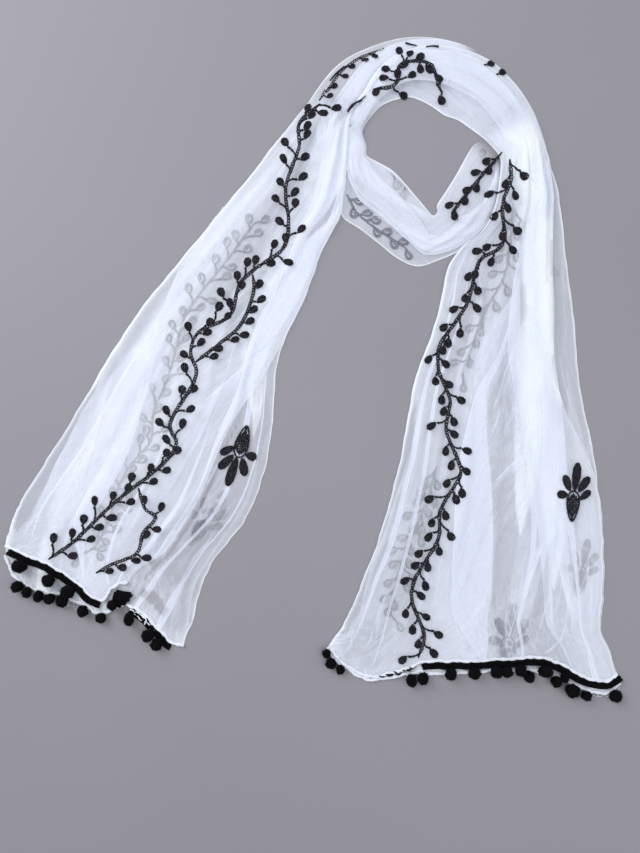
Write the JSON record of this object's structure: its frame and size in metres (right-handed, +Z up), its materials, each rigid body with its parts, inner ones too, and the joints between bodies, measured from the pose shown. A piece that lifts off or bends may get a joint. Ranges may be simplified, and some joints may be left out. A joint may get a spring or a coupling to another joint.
{
  "type": "dupatta stole",
  "caption": "Sheer chiffon dupatta stole laid out flat with a turn round the neck, black vine embroidery and pompom lace on both ends.",
  "frame": {"origin": "on the surface it lies on, at the middle of the whole laid stole's bounding box", "axes": "+Z up from the surface; +Y from the hems of the two falls to the back of the neck; +X to the viewer's right, from the left fall to the right fall"},
  "size_m": [0.6808, 0.7288, 0.0131],
  "materials": {
    "chiffon": "sheer white chiffon, soft sheen",
    "rolled_chiffon": "white rolled hem, opaque",
    "black_lace": "black cotton braid and pompoms, matt"
  },
  "bodies": {
    "root": {"left_fall": "chiffon", "right_fall": "chiffon", "neck_over": "chiffon", "neck_under": "chiffon", "front_band": "chiffon", "hem_left_upper": "rolled_chiffon", "hem_left_under": "rolled_chiffon", "hem_right_upper": "rolled_chiffon", "hem_right_under": "rolled_chiffon", "lace_left_upper": "black_lace", "lace_left_under": "black_lace", "lace_left_side": "black_lace", "lace_right_upper": "black_lace", "lace_right_under": "black_lace", "lace_left_bunch": "black_lace"}
  },
  "joints": []
}
